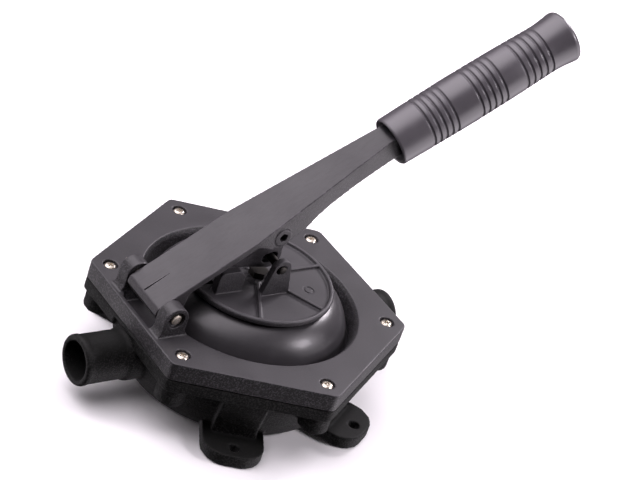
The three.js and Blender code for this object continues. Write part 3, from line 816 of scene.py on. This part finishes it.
def catmull(points, steps):
    """A smooth Catmull-Rom curve through the points."""
    made = []
    vectors = [Vector(p) for p in points]
    ends = [vectors[0] * 2 - vectors[1], *vectors, vectors[-1] * 2 - vectors[-2]]
    for a, b, c, d in zip(ends, ends[1:], ends[2:], ends[3:]):
        for k in range(steps):
            t = k / steps
            made.append(tuple(0.5 * (2 * b + (c - a) * t + (2 * a - 5 * b + 4 * c - d) * t * t
                                     + (3 * b - a - 3 * c + d) * t ** 3)))
    return [*made, tuple(vectors[-1])]


# ---------- piston plate ----------


def ear(side):
    """An ear that holds one end of the link pin."""
    x, z = LINK_PIN.x, LINK_PIN.z
    left, right = x - EAR_HALF, x + EAR_HALF
    outline = [(left, PLATE_FLOOR - 1), (right, PLATE_FLOOR - 1), (right, PLATE_FLOOR + 1.5),
               *arc(x, z, EAR_R, 14, 166, 24), (left, PLATE_FLOOR + 1.5)]
    low, high = (EAR_INNER, EAR_OUTER) if side > 0 else (-EAR_OUTER, -EAR_INNER)
    return prism("ear", outline, low, high, "Y")


def fin(side):
    """One of the two stops behind the bolt."""
    outline = [(-36, PLATE_FLOOR - 1), (-18, PLATE_FLOOR - 1), (-18, PLATE_FLOOR + 10),
               (-22, PLATE_FLOOR + 14), *arc(-32, PLATE_FLOOR + 10, 4, 90, 180, 8)]
    low, high = (6, 11) if side > 0 else (-11, -6)
    return prism("fin", outline, low, high, "Y")


def piston_plate():
    r = PLATE_R
    disc = lathe("plate", fillet([
        (0, PLATE_BOTTOM), (r - 1.2, PLATE_BOTTOM, 1), (r, PLATE_BOTTOM + 1.2, 1),
        (r, PLATE_RIM - 0.8, 0.6), (r - 0.8, PLATE_RIM, 0.6), (r - 2.2, PLATE_RIM, 0.5),
        (r - 2.8, PLATE_FLOOR, 0.4), (0, PLATE_FLOOR)]), SMOOTH_SEGMENTS)
    ribs = [spun(block(6, r - 2, -1, 1, PLATE_FLOOR - 1, PLATE_RIM - 0.3), 360 / PLATE_RIBS * i)
            for i in range(PLATE_RIBS)]
    hub = rod(PLATE_HUB_R, PLATE_FLOOR - 1, PLATE_FLOOR + 0.8)
    join(disc, *ribs, hub, ear(1), ear(-1), fin(1), fin(-1))
    cut(disc, rod(BOLT_HOLE_R, PLATE_BOTTOM - 1, PLATE_RIM + 5, segments=32))
    for x in (LINK_PIN.x, LINK_PIN.x - 1.4):
        cut(disc, rod(LINK_PIN_R + PIN_GAP, -30, 30, (x, LINK_PIN.z), "Y", PIN_SEGMENTS))
    mark = hoop(*MARK_R, PLATE_FLOOR - 0.8, PLATE_FLOOR + 1, MARK_AT)
    cut(disc, spun(mark, MARK_ANGLE))
    moulded(disc, voxel=0.36, rounds=3, keep=0.55)
    # the plate's plastic is the ring's, made lighter: a painted lit tone
    return finish_piece(disc, "upper_plate", "piston", "ring_plastic", PLATE_PLASTIC_PAINTED_LIT, "piston_plate")


def hoop(outer, inner, low, high, at):
    ring = rod(outer, low, high, (at, 0), segments=PIN_SEGMENTS)
    return cut(ring, rod(inner, low - 1, high + 1, (at, 0), segments=PIN_SEGMENTS))


# ---------- lever and grip, drawn along X from the pivot and then laid in place ----------


def lever_place():
    turn = Matrix.Rotation(math.radians(-LEVER_TILT), 4, "Y")
    return Matrix.Translation(PIVOT * MM) @ turn


def to_lever(point):
    """A point of the frame as (along, across) in the lever's own drawing."""
    dx, dz = point.x - PIVOT.x, point.z - PIVOT.z
    c, s = math.cos(math.radians(LEVER_TILT)), math.sin(math.radians(LEVER_TILT))
    return dx * c + dz * s, dz * c - dx * s


def lever_plan():
    half, end, taper = LEVER_HALF, LEVER_HALF_AT_GRIP, LEVER_TAPER_FROM
    nose, taper_end, tip = -9, 160, 170
    return [(nose, -half), (taper, -half), (taper_end, -end), (tip, -end), (tip, end),
            (taper_end, end), (taper, half), (nose, half)]


def lever_blank():
    """The arm's outer shape: its side view, cut to its plan."""
    side = fillet([
        (-6, -6, 2), (8, -6, 2), (15, 1.2, 3), (62, 1.2, 4), (67, -6, 6), (74, -10.5, 4),
        (92, -10.5, 6), (101, -8, 10), (112, -6.8, 12), (128, -6.8, 12), (145, -8, 12),
        (163, -9.6), (168, -9.6), (168, 2.5), (160, LEVER_TOP, 6), (-5, LEVER_TOP, 3),
        (-8, 2, 2), (-8, -3.5, 2)])
    return to_plan(prism("lever", side, -20, 20, "Y"))


def to_plan(piece):
    return combine(piece, "INTERSECT", [prism("plan", lever_plan(), -15, 15)])


def lever_channel():
    """The hollow under the arm."""
    half, end = LEVER_HALF - LEVER_WALL, LEVER_HALF_AT_GRIP + 1.2 - LEVER_WALL
    start, taper, stop = 13, LEVER_TAPER_FROM, 146
    plan = [(start, -half), (taper, -half), (stop, -end), (stop, end), (taper, half), (start, half)]
    return prism("channel", plan, -20, LEVER_TOP - LEVER_WALL)


def link_slot():
    """Round cutters along the line to the pivot. Together they make the link pin's slot."""
    along, across = to_lever(LINK_PIN)
    angle = math.atan2(across, along)
    return [rod(LINK_PIN_R + 0.45, -6, 6,
                (along + step * math.cos(angle), across + step * math.sin(angle)), "Y", 32)
            for step in LINK_SLOT_STEPS]


def lever_arm():
    arm = lever_blank()
    cut(arm, lever_channel())
    along, across = to_lever(LINK_PIN)
    web = [(30, 2), (40, -8), *arc(along, across, 7.5, 215, 350, 20), (92, -6), (96, 2)]
    join(arm, prism("web", web, -5, 5, "Y"))
    for u in LEVER_RIBS:
        join(arm, to_plan(block(u - 1.2, u + 1.2, -11.5, 11.5, -5, 3)))
    tang = block(-8, TANG_END, -TANG_HALF, TANG_HALF, -TANG_HALF, TANG_HALF)
    join(arm, moved(tang, grip_place()))
    inner, outer = SPARE_BOSS_Y
    for y0, y1 in ((-outer, -inner), (inner, outer)):
        join(arm, rod(SPARE_BOSS_R, y0, y1, SPARE_HOLE, "Y", PIN_SEGMENTS))
    cut(arm, *link_slot())
    cut(arm, rod(PIVOT_PIN_R + PIN_GAP, -20, 20, (0, 0), "Y", PIN_SEGMENTS),
        rod(SPARE_HOLE_R, -20, 20, SPARE_HOLE, "Y", 32))
    moulded(arm, voxel=0.42, rounds=3, keep=0.5)
    slit = [(-4, 0.6), (13, 1.1), (13, 1.3), (-4, 1.8)]
    cut(arm, prism("slit", slit, LEVER_TOP - 1.2, LEVER_TOP + 1))
    smooth_by_angle(arm, 45)
    moved(arm, lever_place())
    return finish_piece(arm, "lever_moulding", "lever", "lever_plastic", LEVER_PLASTIC, "lever_arm")


def grip_place():
    turn = Matrix.Rotation(math.radians(GRIP_TILT), 4, "Y")
    return Matrix.Translation((GRIP_FROM * MM, 0, GRIP_DROP * MM)) @ turn


def grip_radius(t):
    """The grip's radius at the part t of its length: a slight belly, then a flare."""
    belly_end, flare_from = 0.85, 0.86
    waist = 14.75 + 0.85 * math.sin(math.pi * min(t / belly_end, 1))
    return waist + 2 * max(0, (t - flare_from) / 0.14) ** 1.5


def grip():
    """A handle with three bands of grooves, a hollow mouth and a flared, domed end."""
    length = GRIP_LENGTH
    grooves = [start + (end - start) * i / (GROOVES_IN_BAND - 1)
               for start, end in GROOVE_BANDS for i in range(GROOVES_IN_BAND)]
    outline = [(0, 14), (12.6, 14), (12.6, 0.5), (13.1, 0), (14.2, 0), (14.75, 0.8)]
    steps, mouth_steps, dome_steps = 420, 4, 14
    for k in range(mouth_steps, steps - dome_steps):
        t = k / steps
        dip = max(max(0, 1 - ((t - g) * length / GROOVE_HALF) ** 2) ** 1.5 for g in grooves)
        outline.append((grip_radius(t) - GROOVE_DEEP * dip, t * length))
    end_r = grip_radius(1 - dome_steps / steps)
    outline += [(end_r - 0.1, length - 3.4), (end_r - 0.7, length - 2.2), (end_r - 2, length - 1.3),
                (end_r - 4.5, length - 0.7), (end_r - 9, length - 0.25), (0, length)]
    handle = lathe("grip", outline, SMOOTH_SEGMENTS)
    moved(handle, Matrix.Rotation(math.radians(90), 4, "Y"))
    socket = TANG_HALF + PIN_GAP
    cut(handle, block(13, TANG_END + 2, -socket, socket, -socket, socket))
    handle.data.shade_smooth()
    smooth_by_angle(handle, 50)
    moved(handle, lever_place() @ grip_place())
    return finish_piece(handle, "handle_grip", "lever", "grip_plastic", GRIP_PLASTIC, "grip")


# ---------- pieces that keep their CAD shape ----------


def dress(node, material, width_mm):
    """Gives a CAD node its finish and small broken edges. Its own mesh stays as it is."""
    piece = frame["nodes"][node]
    piece.data.materials.clear()
    piece.data.materials.append(material)
    break_edges(piece, width_mm, 3)


def dressed_nodes():
    dress("lower_plate", BODY_PLASTIC, 0.3)
    # the bolt, washer and nut get the steel painted dark: painted shade
    for node in ("centre_bolt", "centre_washer", "centre_nut"):
        dress(node, STEEL_PAINTED_SHADE, 0.35)
    for node in ("pivot_clip", "link_clip"):
        dress(node, STEEL, 0.25)
    for side in ("inlet", "outlet"):
        dress(f"{side}_valve_seat", VALVE_PLASTIC, 0.3)
        dress(f"{side}_valve_retainer", VALVE_PLASTIC, 0.3)
        dress(f"{side}_valve_flap", VALVE_RUBBER, 0.2)
        for i in (1, 2):
            dress(f"{side}_valve_screw_{i}", STEEL, 0.12)


# ---------- stage ----------


def camera():
    place = Vector(CAMERA_PLACE)
    data = bpy.data.cameras.new("camera")
    data.lens = LENS_MM
    data.sensor_width = SENSOR_MM
    data.clip_start = 0.01
    made = bpy.data.objects.new("camera", data)
    bpy.context.scene.collection.objects.link(made)
    turn = (Vector(CAMERA_AIM) - place).to_track_quat("-Z", "Y").to_matrix().to_4x4()
    roll = Matrix.Rotation(math.radians(CAMERA_ROLL), 4, "Z")
    made.matrix_world = Matrix.Translation(place) @ turn @ roll
    bpy.context.scene.camera = made


def lamp(name, place, aim, side, watts):
    data = bpy.data.lights.new(name, "AREA")
    data.shape = "RECTANGLE"
    data.size = side
    data.size_y = side
    data.energy = watts
    data.color = PURPLE
    made = bpy.data.objects.new(name, data)
    bpy.context.scene.collection.objects.link(made)
    made.location = place
    made.rotation_mode = "QUATERNION"
    made.rotation_quaternion = (Vector(aim) - Vector(place)).to_track_quat("-Z", "Y")


def hide_from_light(piece):
    """Only the camera sees the piece. It neither lights nor reflects nor shades anything."""
    piece.visible_diffuse = False
    piece.visible_glossy = False
    piece.visible_shadow = False


def stage():
    mesh = bpy.data.meshes.new("floor")
    bm = bmesh.new()
    bmesh.ops.create_grid(bm, x_segments=1, y_segments=1, size=6)
    bm.to_mesh(mesh)
    bm.free()
    floor = put("floor", mesh)
    floor.location.z = -0.0005
    s = Shader("floor", (0.93, 0.93, 0.93), 0.95, Specular_IOR_Level=0.1)
    s.tint(s.ramp(s.noise(3, 2), 0.3, 0.7, 0, 0.2), (0.9, 0.9, 0.9))
    floor.data.materials.append(s.material)
    hide_from_light(floor)
    backdrop()
    sky()
    for settings in LAMPS:
        lamp(*settings)
    bpy.context.scene.view_settings.view_transform = "Standard"


def backdrop():
    """A white dome that only the camera sees, so that it lights nothing."""
    mesh = bpy.data.meshes.new("backdrop")
    bm = bmesh.new()
    bmesh.ops.create_uvsphere(bm, u_segments=32, v_segments=16, radius=12)
    bm.to_mesh(mesh)
    bm.free()
    dome = put("backdrop", mesh)
    material = bpy.data.materials.new("backdrop")
    material.use_nodes = True
    shader = material.node_tree.nodes["Principled BSDF"]
    shader.inputs["Base Color"].default_value = (0, 0, 0, 1)
    shader.inputs["Emission Color"].default_value = (1, 1, 1, 1)
    shader.inputs["Emission Strength"].default_value = 1
    mesh.materials.append(material)
    hide_from_light(dome)


def sky():
    """Soft patches of light in a dim surround."""
    world = bpy.data.worlds.new("world")
    world.use_nodes = True
    nodes, links = world.node_tree.nodes, world.node_tree.links
    total = None
    for toward, start, full, strength in SKY_PATCHES:
        dot = nodes.new("ShaderNodeVectorMath")
        dot.operation = "DOT_PRODUCT"
        dot.inputs[1].default_value = Vector(toward).normalized()
        links.new(nodes.new("ShaderNodeTexCoord").outputs["Generated"], dot.inputs[0])
        fade = nodes.new("ShaderNodeMapRange")
        fade.interpolation_type = "SMOOTHSTEP"
        for key, value in (("From Min", start), ("From Max", full), ("To Min", 0.0),
                           ("To Max", strength)):
            fade.inputs[key].default_value = value
        links.new(dot.outputs["Value"], fade.inputs["Value"])
        add = nodes.new("ShaderNodeMath")
        add.operation = "ADD"
        add.inputs[0].default_value = SURROUND
        if total:
            links.new(total, add.inputs[0])
        links.new(fade.outputs["Result"], add.inputs[1])
        total = add.outputs[0]
    nodes["Background"].inputs["Color"].default_value = (*PURPLE, 1)
    links.new(total, nodes["Background"].inputs["Strength"])
    bpy.context.scene.world = world


pump_body()
clamp_ring()
for number, spot in enumerate(screw_places()):
    ring_screw(number, spot)
pin("pivot_pin_turned", "pivot_pin", PIVOT_PIN_R, PIN_LOW.y, PIN_HIGH.y, "root", STEEL)
# the link pin gets the steel painted dark: painted shade
pin("link_pin_turned", "link_pin", LINK_PIN_R, LINK_LOW.y, LINK_HIGH.y, "piston", STEEL_PAINTED_SHADE)
diaphragm()
piston_plate()
lever_arm()
grip()
dressed_nodes()
stage()
camera()
